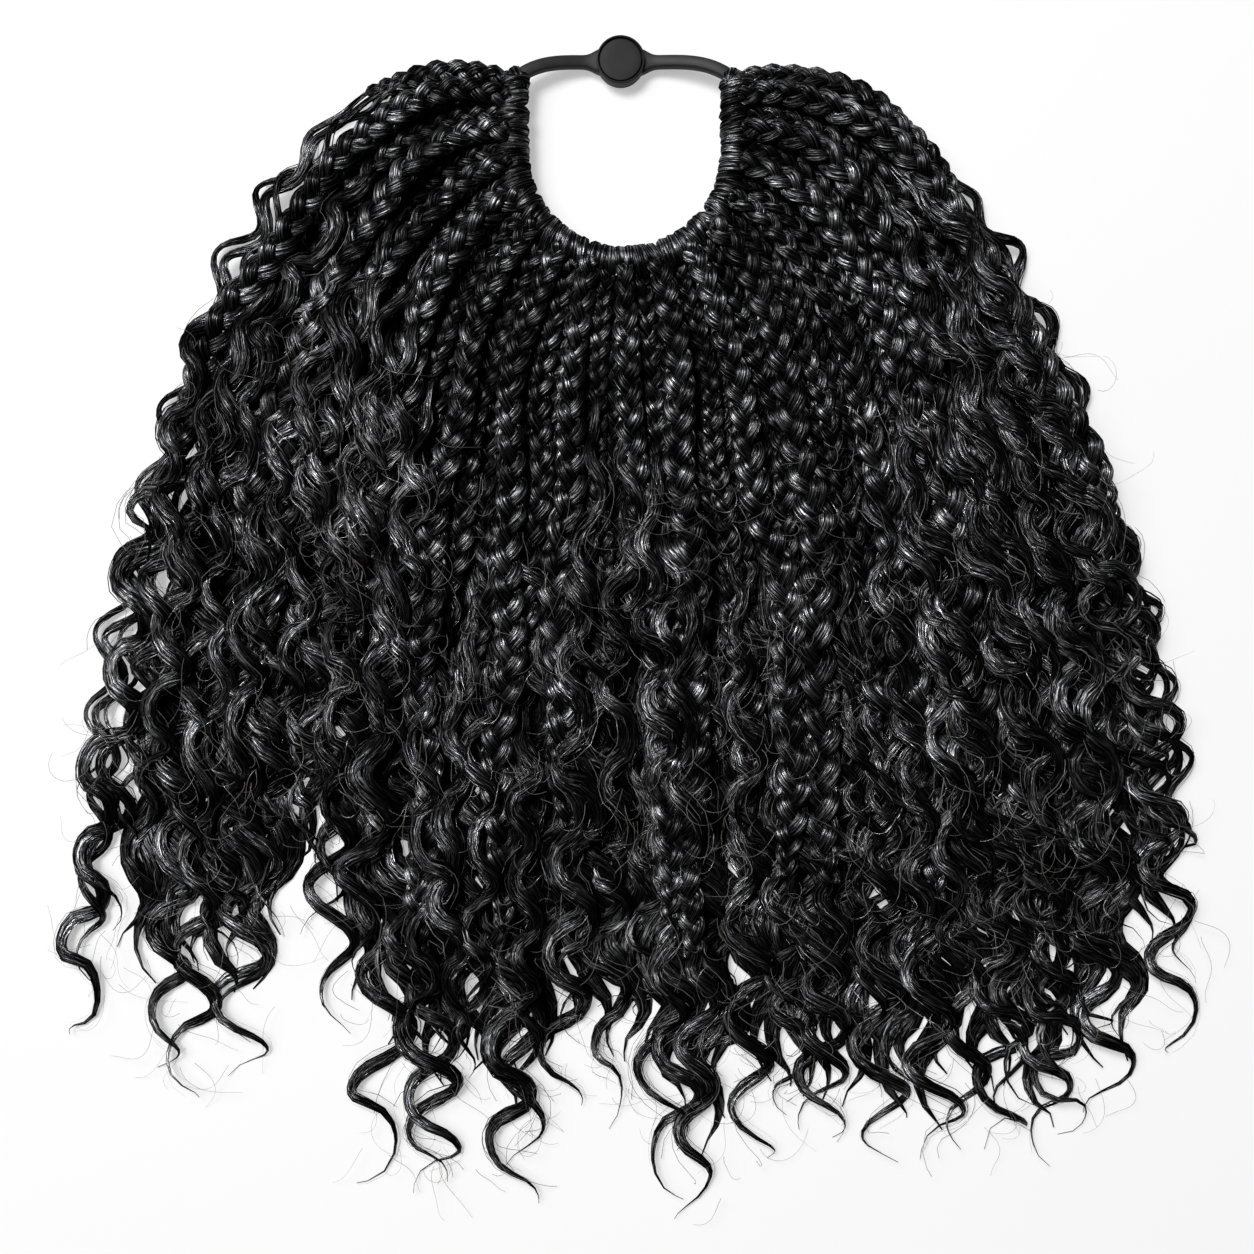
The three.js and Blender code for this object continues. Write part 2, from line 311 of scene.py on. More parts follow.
class Skin:
    """Gathers closed tubes and makes one mesh of them, with the run of the fibres kept on its points."""

    def __init__(self):
        self.points, self.fibres, self.across, self.tints = [], [], [], []
        self.faces = []
        self.count = 0

    def add(self, points, fibre, across, tint, sides, closed=False):
        """Rings of points as a closed skin: the last ring meets the first, or each end gets a face."""
        rows = len(points) // sides
        self.points.append(points)
        self.fibres.append(fibre)
        self.across.append(across)
        self.tints.append(np.full(len(points), tint))
        self.faces.append(self.count + ring_faces(rows, sides, closed))
        if not closed:
            ring = np.arange(sides)[None]
            self.faces.append(self.count + ring[:, ::-1])
            self.faces.append(self.count + (rows - 1) * sides + ring)
        self.count += len(points)

    def tube(self, centre, normal, half_width, half_thick, section, tint=0.5, closed=False):
        """A section swept along a row of centres; its x runs across the normal and its y along it."""
        rows, sides = len(centre), len(section)
        if closed:
            along = unit(np.roll(centre, -1, 0) - np.roll(centre, 1, 0))
        else:
            along = unit(np.gradient(centre, axis=0))
        normal = unit(normal - (normal * along).sum(1, keepdims=True) * along)
        broad = np.cross(normal, along)
        x = np.broadcast_to(half_width, rows)[:, None] * section[:, 0]
        y = np.broadcast_to(half_thick, rows)[:, None] * section[:, 1]
        offset = broad[:, None] * x[..., None] + normal[:, None] * y[..., None]
        points = (centre[:, None] + offset).reshape(-1, 3)
        points[:, 2] = np.maximum(points[:, 2], FLOOR_GAP)
        around = unit(np.roll(offset, -1, 1) - np.roll(offset, 1, 1))
        steps = np.linalg.norm(np.diff(centre, axis=0), axis=1)
        length = np.concatenate([[0.0], np.cumsum(steps)])[:, None] * np.ones(sides)
        fibre = np.stack([x, y, length * FIBRE.stretch], -1) + rng.uniform(0, FIBRE.span, 3)
        self.add(points, fibre.reshape(-1, 3), around.reshape(-1, 3), tint, sides, closed)

    def made(self, name, material):
        """The gathered tubes as one object in the frame."""
        mesh = bpy.data.meshes.new(name)
        points = (np.concatenate(self.points) + SHIFT) * MM
        corners = np.concatenate([f.ravel() for f in self.faces])
        sizes = np.concatenate([np.full(len(f), f.shape[1]) for f in self.faces])
        mesh.vertices.add(len(points))
        mesh.vertices.foreach_set("co", points.astype(np.float32).ravel())
        mesh.loops.add(len(corners))
        mesh.loops.foreach_set("vertex_index", corners.astype(np.int32))
        mesh.polygons.add(len(sizes))
        starts = np.concatenate([[0], np.cumsum(sizes)[:-1]])
        mesh.polygons.foreach_set("loop_start", starts.astype(np.int32))
        mesh.update(calc_edges=True)
        mesh.shade_smooth()
        for key, rows in (("fibre", self.fibres), ("across", self.across)):
            values = np.concatenate(rows).astype(np.float32).ravel()
            mesh.attributes.new(key, "FLOAT_VECTOR", "POINT").data.foreach_set("vector", values)
        tints = np.concatenate(self.tints).astype(np.float32)
        mesh.attributes.new("tint", "FLOAT", "POINT").data.foreach_set("value", tints)
        mesh.materials.append(material)
        made = bpy.data.objects.new(name, mesh)
        bpy.context.scene.collection.objects.link(made)
        return made


def round_section(sides):
    return circle(sides, 0.5)


def grooved_section(sides, ridge, groove):
    """A round section with every other corner drawn in."""
    return round_section(sides) * np.tile([ridge, groove], sides // 2)[:, None]


PLAIT_SECTION = round_section(7)
HIDDEN_SECTION = round_section(6)
LOCK_SECTION = grooved_section(10, ridge=1.12, groove=0.74)
BACKING_SECTION = grooved_section(8, ridge=1.1, groove=0.78)
HAIR_SECTION = round_section(3)

# How a plait is drawn: its section, its rows of points for each period and its shine, which is less on the
# lower plaits as painted shade
Weave = namedtuple("Weave", "section rows shine")
# The spare plaits lie lowest and get the least shine: painted shade from the plaits over them.
HIDDEN_WEAVE = Weave(HIDDEN_SECTION, 9, 0.25)

# Every other braid lies above its neighbours. A layer has its weave, its height, its root's height above
# the loop, its size, and its shares of the plaited part and of the lean
Layer = namedtuple("Layer", "weave level root size plaited lean")
# ABOVE gets the most shine and BELOW less: painted shade on the lower layer.
ABOVE = Layer(Weave(PLAIT_SECTION, 16, 0.75), LEVEL.high, 2.6, (0.98, 1.25), (0.9, 1.1), 1.0)
BELOW = Layer(Weave(PLAIT_SECTION, 16, 0.4), LEVEL.middle, 0.2, (0.82, 1.02), (0.55, 0.8), 0.3)

# One plait of a braid: its lane, its height, its size and the length along the lane where it ends
Run = namedtuple("Run", "lane level size end")


def piece(made, slot, *nodes):
    """The object stands for these nodes of the frame."""
    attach(made, "root")
    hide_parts(*nodes)
    return made


# The rim of the loop and the lanes of the fan

RIM_LENGTH = math.pi * LOOP.half_width + 2 * LOOP.side


def rim(share):
    """A point of the rim and its outward direction, from the top left end (0) to the top right (1)."""
    s = share * RIM_LENGTH
    if s < LOOP.side:
        return np.array([LOOP.x - LOOP.half_width, LOOP.y + LOOP.side - s]), np.array([-1.0, 0.0])
    if s > RIM_LENGTH - LOOP.side:
        y = LOOP.y + s - (RIM_LENGTH - LOOP.side)
        return np.array([LOOP.x + LOOP.half_width, y]), np.array([1.0, 0.0])
    angle = math.pi + (s - LOOP.side) / LOOP.half_width
    out = np.array([math.cos(angle), math.sin(angle)])
    return np.array([LOOP.x, LOOP.y]) + LOOP.half_width * out, out


def outline_y(x):
    return np.interp(x, [row.x for row in END_OUTLINE], [row.y for row in END_OUTLINE])


class Lane:
    """A line of the fan, known by the length along it: square out of the rim, then down to its end."""

    def __init__(self, share):
        start, out = rim(share)
        across = 2 * share - 1
        side = across * across
        climb = max((abs(across) - RISE.start) / (1 - RISE.start), 0)
        out = out + np.array([0, climb * (RISE.left if across < 0 else RISE.right)])
        fall = (1 - min(abs(across), 1) ** FAN.flatness) ** (1 / FAN.flatness)
        end = np.array([FAN.x + FAN.half_width * across, FAN.side_y - FAN.depth * fall])
        reach = TURN.reach + side * (TURN.left if across < 0 else TURN.right)
        bend = end + [-np.sign(across) * TURN.bend_in * side, TURN.bend_up + TURN.side_bend_up * side]
        first = start + unit(out) * reach
        t = np.linspace(0, 1, LANE_STEPS + 1)[:, None]
        u = 1 - t
        self.xy = u**3 * start + 3 * u * u * t * first + 3 * u * t * t * bend + t**3 * end
        steps = np.linalg.norm(np.diff(self.xy, axis=0), axis=1)
        self.s = np.concatenate([[0.0], np.cumsum(steps)])
        self.along = unit(np.gradient(self.xy, axis=0))
        self.level_s = self.crossing(lambda x: FAN.side_y)
        self.length = self.crossing(outline_y)

    def crossing(self, edge):
        """The length down to an edge, which gives a height on the page for each x."""
        half = len(self.s) // 2
        past = np.nonzero(self.xy[half:, 1] < edge(self.xy[half:, 0]))[0]
        return self.s[half + past[0]] if len(past) else self.s[-1]

    def at(self, s, aside=0.0):
        """Points of the page beside the lane, and the direction to its left there."""
        xy = np.column_stack([np.interp(s, self.s, self.xy[:, c]) for c in (0, 1)])
        along = unit(np.column_stack([np.interp(s, self.s, self.along[:, c]) for c in (0, 1)]))
        xy = xy + along * np.maximum(s - self.s[-1], 0)[:, None]
        left = np.column_stack([-along[:, 1], along[:, 0]])
        return xy + left * np.broadcast_to(aside, len(xy))[:, None], left


def wander(s, size):
    """A slow drift to either side."""
    phases = rng.uniform(0, TAU, 2)
    slow = DRIFT.long_share * np.sin(TAU * s / DRIFT.long + phases[0])
    return size * (slow + DRIFT.short_share * np.sin(TAU * s / DRIFT.short + phases[1]))


# Hair


def knot(hair, spot, out, size=1.0):
    """A turn of hair round the band."""
    angle = TAU * np.arange(KNOT.rows) / KNOT.rows
    run = np.array([-out[1], out[0]])
    slant = KNOT.slant * rng.uniform(*KNOT.slants)
    size = size * rng.uniform(*KNOT.sizes)
    reach = KNOT.reach * size * np.cos(angle)
    spot = spot + run * rng.uniform(*KNOT.shift) + (size - 1) * KNOT.reach * out
    xy = spot - KNOT.inward * out + reach[:, None] * out + (slant * reach)[:, None] * run
    centre = lifted(xy, LOOP.z) + np.outer(KNOT.rise * size * np.sin(angle), UP)
    normal = np.outer(np.cos(angle), [*out, 0]) + np.outer(np.sin(angle), UP)
    half_width = KNOT.half_width * rng.uniform(*KNOT.widths)
    half_thick = KNOT.half_thick * rng.uniform(*KNOT.thicknesses)
    section = PLAIT_SECTION * rng.uniform(*KNOT.uneven, (len(PLAIT_SECTION), 1))
    hair.tube(centre, normal, half_width, half_thick, section, rng.uniform(*KNOT.shine), closed=True)


def corner_knots(hair, side):
    """The turns that cover a top corner of the band, up to where the strap comes out."""
    x = LOOP.x + side * (LOOP.half_width - LOOP.corner)
    middle = np.array([x, float(strap_y(x)) - LOOP.corner])
    for turn in np.linspace(0.0, 1.0, KNOT.at_corner) * math.pi / 2:
        out = np.array([side * math.cos(turn), math.sin(turn)])
        knot(hair, middle + LOOP.corner * out, out, KNOT.corner_size)


def plait(hair, run, start, root, lean, weave):
    """Three strands laid over each other; seen from above, their V's point to the tip. The answer is how
    far the plait has strayed from its lane at its end."""
    count = int((run.end - start) / PLAIT.period * weave.rows)
    s = np.linspace(start, run.end, count)
    grown = mix(GROWTH.root, 1, smoothstep(s, 0, GROWTH.young))
    grown = grown * mix(1, GROWTH.full, smoothstep(s, GROWTH.young, GROWTH.grown)) * run.size
    grown = grown * mix(1, GROWTH.end, smoothstep(s, run.end - GROWTH.end_length, run.end))
    drift = wander(s, STRAY.drift) * smoothstep(s, *STRAY.drift_over)
    drift = drift + lean * smoothstep(s, *STRAY.lean_over)
    xy, left = run.lane.at(s, drift)
    bob = PLAIT.bob * np.sin(TAU * s / PLAIT.bob_length + rng.uniform(0, TAU))
    z = mix(root, run.level, smoothstep(s, 0, PLAIT.settle)) + bob
    middle = lifted(xy, np.maximum(z, (PLAIT.dive + PLAIT.half_thick) * grown))
    roll = rng.uniform(-PLAIT.roll, PLAIT.roll) + wander(s, PLAIT.roll_drift)
    left = lifted(left, 0)
    side = left * np.cos(roll)[:, None] + UP * np.sin(roll)[:, None]
    top = UP * np.cos(roll)[:, None] - left * np.sin(roll)[:, None]
    pace = TAU / (PLAIT.period * grown * rng.uniform(*PLAIT.pace))
    turn = np.concatenate([[0.0], np.cumsum(pace[1:] * np.diff(s))]) + rng.uniform(0, TAU)
    for strand in range(3):
        angle = turn + TAU * strand / 3
        over = -np.tanh(PLAIT.plateau * np.sin(2 * angle))
        sway = PLAIT.sway * grown * np.sin(angle)
        dive = PLAIT.dive * grown * over
        centre = middle + side * sway[:, None] + top * dive[:, None]
        facing = top + side * (PLAIT.tilt * np.sin(angle))[:, None]
        swell = grown * (PLAIT.slim + PLAIT.swell * over)
        shine = weave.shine * rng.uniform(*PLAIT.shine)
        hair.tube(centre, facing, PLAIT.half_width * swell, PLAIT.half_thick * swell, weave.section, shine)
    return drift[-1]


def curl(hair, lane, start, end, look):
    """A lock that winds about its lane like a corkscrew pressed flat: a core of fibres that runs out in a
    point, strands that lie on it and leave it, and wisps that stand off it."""
    wave = CURL.wave * look.wave
    count = max(int((end - start) / wave * look.rows), CURL.least_rows)
    share = np.linspace(0, 1, count)
    s = mix(start, end, share)
    swell = smoothstep(share, 0, look.swell) * (1 - look.fade * share)
    swell = swell * mix(look.young, 1, smoothstep(share, *CURL.grown_over))
    drift = look.origin + look.aside * smoothstep(share, 0, CURL.aside_by)
    drift = drift + wander(s, look.wander) * smoothstep(share, 0, CURL.wander_by)
    level = mix(look.z_from, look.z_mid, smoothstep(share, 0, CURL.level_by))
    level = mix(level, look.z_to, smoothstep(share, look.fall_from, look.fall_to))
    turn = TAU * (s - lane.level_s) / wave + look.phase + wander(s, look.uneven)
    crowded = CURL.crowd * np.sin(2 * turn)  # puts more of the rows into the bends
    s = s + crowded * wave / TAU
    turn = turn + crowded
    swell = swell * (1 + wander(s, CURL.uneven * look.uneven))
    full = look.size * smoothstep(share, *LOCK.full_over) * mix(1, LOCK.end, share)
    ending = smoothstep(s, end - LOCK.tip_length, end)
    apart = full * mix(1, STRAND.frayed, ending)
    full = full * mix(1, LOCK.tip, ending)

    def path(own):
        """A strand's middle, the direction out of the lock there and the one across the lock."""
        late, early, wide, high = own
        part = turn + STRAND.late * late * share**2 + STRAND.early * early
        sway = CURL.sway * look.sway * swell * (1 + STRAND.wide * wide)
        slip = swell * (look.slip * np.cos(part) - look.meander * wave * np.sin(2 * part))
        slip = slip + look.hook * sway * smoothstep(share, CURL.hook_from, 1.0) * np.cos(part)
        swing = np.sin(part)
        xy, left = lane.at(s + slip, drift + sway * swing)
        rise = CURL.rise * look.sway * swell * np.cos(part)
        centre = lifted(xy, level + rise + STRAND.high * high)
        out = unit(UP + lifted(left, 0) * (CURL.tilt * swell * swing)[:, None])
        return centre, out, np.cross(out, unit(np.gradient(centre, axis=0)))

    centre, out, _ = path(np.zeros(4))
    section = look.section * rng.uniform(*LOCK.uneven, (len(look.section), 1))
    half_thick = LOCK.half_thick * look.flat * full
    centre[:, 2] = np.maximum(centre[:, 2], half_thick)
    shine = look.shine * rng.uniform(*LOCK.shine)
    hair.tube(centre, out, LOCK.half_width * full, half_thick, section, shine)
    for _ in range(look.strands):
        centre, out, broad = path(rng.normal(0, STRAND.own, 4))
        place = rng.uniform(-1, 1)
        weave_length = wave * rng.uniform(*STRAND.weave_waves)
        place = place + STRAND.weave * np.sin(TAU * s / weave_length + rng.uniform(0, TAU))
        place = STRAND.spread * place
        centre = centre + broad * (place * LOCK.half_width * apart)[:, None]
        lift = np.sqrt(np.maximum(1 - (place / STRAND.brow) ** 2, 0)) * rng.uniform(*STRAND.lift)
        centre = centre + out * (lift * LOCK.half_thick * look.flat * full)[:, None]
        stop = int(count * rng.uniform(*STRAND.stop))
        tip = mix(1, STRAND.tip, smoothstep(np.arange(stop) / (stop - 1), STRAND.tip_from, 1))
        radius = mix(STRAND.thin, STRAND.thick, rng.random() ** 2) * tip
        shine = look.shine * rng.uniform(*STRAND.shine)
        hair.tube(centre[:stop], out[:stop], radius, radius * STRAND.flat, HAIR_SECTION, shine)
    for _ in range(look.frizz):
        first = int(count * rng.uniform(*FRIZZ.start))
        rows = slice(first, first + FRIZZ.rows)
        centre, out, broad = (part[rows] for part in path(rng.normal(0, FRIZZ.own, 4)))
        u = np.linspace(0, 1, len(centre))
        away = rng.normal(0, LOCK.half_width) + rng.normal(0, FRIZZ.stray) * u * u
        up = rng.uniform(*FRIZZ.rise) * np.sin(math.pi * u)
        centre = centre + broad * away[:, None] + np.outer(up, UP)
        hair.tube(centre, out, FRIZZ.radius, FRIZZ.radius, HAIR_SECTION, SINGLE)


def flyaway_hairs(hair, lane, first):
    """Single hairs that lie across the hair, from a share of the lane on."""
    u = np.linspace(0, 1, FLYAWAY.rows)
    for _ in range(FLYAWAY.count):
        share = rng.uniform(first, FLYAWAY.last)
        spot, left = lane.at(np.array([share * lane.length]), rng.normal(0, FLYAWAY.aside))
        run = np.array([left[0, 1], -left[0, 0]])
        length = rng.uniform(*FLYAWAY.length)
        heading = math.atan2(run[1], run[0]) + rng.normal(0, FLYAWAY.turn)
        bend = rng.normal(0, FLYAWAY.bend) * u
        heading = heading + bend + FLYAWAY.waver * np.sin(TAU * u * rng.uniform(*FLYAWAY.wavers))
        step = np.column_stack([np.cos(heading), np.sin(heading)]) * length / FLYAWAY.rows
        xy = spot + np.cumsum(step, axis=0)
        if np.abs(xy).max() > FLYAWAY.limit:
            continue
        top = mix(FLYAWAY.high, FLYAWAY.low, smoothstep(share, FLYAWAY.fall_from, 1.0))
        top = top + rng.uniform(*FLYAWAY.level)
        z = np.maximum(top + FLYAWAY.arch * np.sin(math.pi * u) - FLYAWAY.droop * u, FLYAWAY.least_z)
        radius = rng.uniform(*FLYAWAY.radius) * (1 - FLYAWAY.taper * u)
        hair.tube(lifted(xy, z), np.tile(UP, (len(u), 1)), radius, radius, HAIR_SECTION, SINGLE)


def curl_look(**given):
    """The look of a lock: what isn't given is drawn at random."""
    wave = rng.uniform(0.8, 1.05)
    look = Sizes(
        wave=wave,
        sway=wave * rng.uniform(0.75, 1.05),
        size=rng.uniform(0.6, 1.05),
        flat=1.0,
        swell=0.22,
        fade=rng.uniform(0.0, 0.3),
        young=rng.uniform(0.5, 0.9),
        origin=0.0,
        aside=rng.normal(0, 4),
        wander=rng.uniform(1.5, 3.5),
        z_from=LEVEL.low,
        z_mid=LEVEL.between,
        z_to=LEVEL.low,
        fall_from=0.3,
        fall_to=0.9,
        phase=rng.normal(0, 1.0),
        slip=rng.normal(0, 0.9),
        meander=rng.normal(0.034, 0.014),
        hook=rng.normal(0, 0.5),
        uneven=0.4,
        shine=rng.uniform(0.5, 1.0),
        section=LOCK_SECTION,
        rows=11,
        strands=5,
        frizz=4,
    )
    vars(look).update(given)
    return look


def main_look(level, strayed, tide):
    """The lock that a braid's own plait ends in, which reaches the lower edge."""
    return curl_look(
        z_from=level,
        z_to=LEVEL.tip,
        origin=strayed,
        aside=rng.normal(0, 2),
        phase=tide + rng.normal(0, 0.5),
        wave=rng.uniform(0.88, 1.08),
        sway=rng.uniform(0.8, 1.1),
        size=rng.uniform(0.75, 1.1),
        fade=0.1,
        shine=1.0,
        rows=14,
        strands=7,
        frizz=8,
    )


def other_look(level, strayed, tide):
    """Any other lock that a plait ends in."""
    look = curl_look(z_from=level, z_to=rng.uniform(3.0, 5.0), origin=strayed)
    look.phase = look.phase + tide
    return look


def edge_changes(level, aside):
    """What is different about the locks at the two sides: slim, even waves that stand clear."""
    return dict(
        size=rng.uniform(0.42, 0.62),
        wave=rng.uniform(0.78, 0.82),
        sway=0.6,
        z_mid=level,
        aside=aside,
        phase=rng.normal(0, 0.35),
        meander=0.01,
        uneven=0.3,
        rows=13,
    )


def backing_look(tide):
    """A broad, flat lock under the plaits, which closes the pile."""
    return curl_look(
        z_from=LEVEL.under,
        z_mid=LEVEL.under,
        z_to=LEVEL.under,
        size=2.15,
        flat=0.45,
        wave=1.1,
        sway=0.6,
        aside=0,
        wander=1.0,
        swell=1,
        phase=tide + rng.normal(0, 0.6),
        shine=0.7,
        section=BACKING_SECTION,
        rows=9,
        strands=2,
        frizz=0,
    )


def loose_look(phase):
    """A smaller lock that lies on top of the plaits."""
    wave = rng.uniform(0.75, 1.05)
    return curl_look(
        wave=wave,
        sway=rng.uniform(0.55, 0.85) * wave,
        phase=phase + rng.normal(0, 0.8),
        size=rng.uniform(0.7, 1.2),
        z_from=LEVEL.between,
        z_mid=LEVEL.loose,
        z_to=LEVEL.between,
        fall_from=0.75,
        fall_to=1.0,
        strands=7,
        frizz=6,
    )


def end_locks(hair, i, order, run, strayed, tide, short):
    """The curls that a plait ends in: two, or one on a plait beside an outer braid."""
    at_edge = i in (0, BRAIDS - 1)
    inward = -CURL.edge_aside if i else CURL.edge_aside
    for half in range(1 if at_edge and order else 2):
        main = order == 0 and half == 0
        look = other_look(run.level, strayed, tide)
        if half == 1:
            vars(look).update(strands=3, frizz=3, section=HIDDEN_SECTION)
        if main:
            look = main_look(run.level, strayed, tide)
        if at_edge:
            vars(look).update(edge_changes(run.level, half * inward))
        reach = 1.0 if main else rng.uniform(*CURL.reach) - short
        start = run.end - CURL.overlap - CURL.second * half
        curl(hair, run.lane, start, run.lane.length * reach, look)


def braid(i, material):
    """One braid: its knots, its plaits, the curls that they end in and the loose curls on top."""
    pitch = (1 - 2 * MARGIN.rim) / (BRAIDS - 1)
    share = MARGIN.rim + pitch * i
    zone = next(row for row in ZONES if i <= row.last)
    layer = ABOVE if i % 2 else BELOW
    at_edge = i in (0, BRAIDS - 1)
    hair = Skin()
    for place in (np.arange(KNOT.count) + 0.5) / KNOT.count:
        if abs(place - share) <= pitch / 2:
            knot(hair, *rim(place))
    lane = Lane(share)
    tide = rng.uniform(0, TAU)
    size = rng.uniform(*layer.size)
    runs = [Run(lane, layer.level, size, lane.length * zone.plaited * rng.uniform(*layer.plaited))]
    spare = [share + pitch / 2] if i < BRAIDS - 1 else [1 - MARGIN.edge]
    if i == 0:
        spare.append(MARGIN.edge)
    if at_edge:
        corner_knots(hair, 1 if i else -1)
    for other in spare:
        beside = Lane(other)
        end = beside.length * zone.plaited * rng.uniform(*SPARE.plaited)
        runs.append(Run(beside, LEVEL.low, SPARE.size, end))
    for order, run in enumerate(runs):
        if order == 0 or at_edge:
            lean = 0.0 if at_edge else rng.normal(0, layer.lean * STRAY.lean)
            strayed = plait(hair, run, PLAIT.start, LOOP.z + layer.root, lean, layer.weave)
        else:
            strayed = plait(hair, run, SPARE.start, run.level, 0.0, HIDDEN_WEAVE)
        if not at_edge:
            backing = backing_look(tide)
            reach = rng.uniform(*BACKING.reach) - zone.short
            curl(hair, run.lane, BACKING.start, run.lane.length * reach, backing)
        end_locks(hair, i, order, run, strayed, tide, zone.short)
    for _ in range(zone.loose):
        start = zone.start + rng.uniform(*LOOSE.start)
        end = min(zone.end, start + rng.uniform(*LOOSE.length))
        curl(hair, lane, lane.length * start, lane.length * end, loose_look(tide))
    outer = min(i, BRAIDS - 1 - i) < FLYAWAY.outer
    flyaway_hairs(hair, lane, FLYAWAY.outer_first if outer else FLYAWAY.first)
    return piece(hair.made(f"hair_{i + 1:02d}", material), "hair", f"braid_{i + 1:02d}")


# Materials


def new_material(name):
    material = bpy.data.materials.new(name)
    material.use_nodes = True
    tree = material.node_tree
    return material, tree, tree.nodes["Principled BSDF"]


def node(tree, kind, inputs=None, **settings):
    made = tree.nodes.new(kind)
    for key, value in settings.items():
        setattr(made, key, value)
    for key, value in (inputs or {}).items():
        if isinstance(value, bpy.types.NodeSocket):
            tree.links.new(value, made.inputs[key])
        else:
            made.inputs[key].default_value = value
    return made


def attribute(tree, name, output):
    return node(tree, "ShaderNodeAttribute", attribute_name=name).outputs[output]


def noise(tree, place, scale, detail, roughness=0.5):
    inputs = {"Vector": place, "Scale": scale, "Detail": detail, "Roughness": roughness}
    return node(tree, "ShaderNodeTexNoise", inputs).outputs["Fac"]


def ranged(tree, value, source, target):
    """A value moved from one range to another and held within it."""
    inputs = {"Value": value}
    inputs["From Min"], inputs["From Max"] = source
    inputs["To Min"], inputs["To Max"] = target
    return node(tree, "ShaderNodeMapRange", inputs).outputs["Result"]


def ramp(tree, factor, *stops):
    """Colours along a factor, each stop a position and a colour."""
    made = node(tree, "ShaderNodeValToRGB", {"Fac": factor})
    elements = made.color_ramp.elements
    while len(elements) < len(stops):
        elements.new(0.5)
    for element, (position, colour) in zip(elements, stops):
        element.position = position
        element.color = (*colour, 1)
    return made.outputs["Color"]


def product(tree, a, b):
    return node(tree, "ShaderNodeVectorMath", {0: a, 1: b}, operation="MULTIPLY").outputs["Vector"]


def hair_material():
    """Black fibres: streaks along each strand, a gloss that they and patches of the pile break up, and
    single hairs painted lighter and browner: a painted highlight for the light that thin hairs catch and
    let through."""
    material, tree, shader = new_material("hair")
    fibre = attribute(tree, "fibre", "Vector")
    tint = attribute(tree, "tint", "Fac")
    place = node(tree, "ShaderNodeTexCoord").outputs["Object"]
    streaks = noise(tree, fibre, scale=3.2, detail=2.0, roughness=0.55)
    clumps = noise(tree, fibre, scale=0.6, detail=1.0)
    patches = noise(tree, place, scale=75.0, detail=1.0)

    black = ramp(
        tree,
        streaks,
        (0.42, (0.0004, 0.0004, 0.0005)),
        (0.55, (0.0015, 0.0015, 0.0017)),
        (0.70, (0.010, 0.010, 0.0112)),
    )
    # Single hairs get a lighter, browner colour: a painted highlight for the light that thin hairs catch
    # and let through.
    single = ranged(tree, tint, (0.8, SINGLE), (0.0, 1.0))
    colours = {"Factor": single, "A": black, "B": (0.12, 0.114, 0.11, 1)}
    colour = node(tree, "ShaderNodeMix", colours, data_type="RGBA").outputs["Result"]
    tree.links.new(colour, shader.inputs["Base Color"])

    shine = ramp(tree, streaks, (0.495, (0.015, 0.015, 0.016)), (0.67, (0.97, 0.975, 1.0)))
    # The tint carries each tube's shine: random, and cut on the lower plaits as painted shade.
    shine = product(tree, shine, ranged(tree, tint, (0.0, 0.75), (0.1, 1.0)))
    shine = product(tree, shine, ranged(tree, patches, (0.42, 0.60), (0.18, 1.0)))
    tree.links.new(shine, shader.inputs["Specular Tint"])

    fine_gloss = ranged(tree, streaks, (0.42, 0.62), (0.56, 0.34))
    broad_gloss = ranged(tree, clumps, (0.35, 0.65), (0.08, -0.06))
    gloss = node(tree, "ShaderNodeMath", {0: fine_gloss, 1: broad_gloss}, operation="ADD")
    tree.links.new(gloss.outputs["Value"], shader.inputs["Roughness"])
    bump = node(tree, "ShaderNodeBump", {"Height": streaks, "Strength": 1.0, "Distance": 0.0006})
    tree.links.new(bump.outputs["Normal"], shader.inputs["Normal"])
    tree.links.new(attribute(tree, "across", "Vector"), shader.inputs["Tangent"])
    shader.inputs["Anisotropic"].default_value = 0.7
    shader.inputs["IOR"].default_value = 3.0
    shader.inputs["Specular IOR Level"].default_value = 0.9
    return material


def moulded_material(name, dark, light, roughness, grain):
    """Matte black rubber or plastic with a fine moulded grain."""
    material, tree, shader = new_material(name)
    place = node(tree, "ShaderNodeTexCoord").outputs["Object"]
    mottle = noise(tree, place, scale=260.0, detail=3.0)
    fine = noise(tree, place, scale=grain, detail=2.0)
    colour = ramp(tree, mottle, (0.3, (dark,) * 3), (0.7, (light,) * 3))
    tree.links.new(colour, shader.inputs["Base Color"])
    vary = 0.08
    gloss = ranged(tree, mottle, (0.0, 1.0), (roughness - vary, roughness + vary))
    tree.links.new(gloss, shader.inputs["Roughness"])
    bump = node(tree, "ShaderNodeBump", {"Height": fine, "Strength": 0.35, "Distance": 0.0001})
    tree.links.new(bump.outputs["Normal"], shader.inputs["Normal"])
    shader.inputs["Specular IOR Level"].default_value = 0.13
    return material


def floor_material():
    """A faintly uneven white that glows a little, so that it stays white in the picture."""
    material, tree, shader = new_material("floor")
    place = node(tree, "ShaderNodeTexCoord").outputs["Object"]
    faint = noise(tree, place, scale=3.0, detail=2.0)
    colour = ramp(tree, faint, (0.3, (0.301,) * 3), (0.7, (0.311,) * 3))
    tree.links.new(colour, shader.inputs["Base Color"])
    shader.inputs["Roughness"].default_value = 0.9
    shader.inputs["Specular IOR Level"].default_value = 0.1
    shader.inputs["Emission Color"].default_value = (1, 1, 1, 1)
    shader.inputs["Emission Strength"].default_value = 0.45
    return material


# The band and the button


def strap_y(x):
    offset = BUTTON.x - LOOP.x
    span = np.where(x < BUTTON.x, LOOP.half_width + offset, LOOP.half_width - offset)
    return BUTTON.y - STRAP.drop * ((x - BUTTON.x) / span) ** STRAP.power


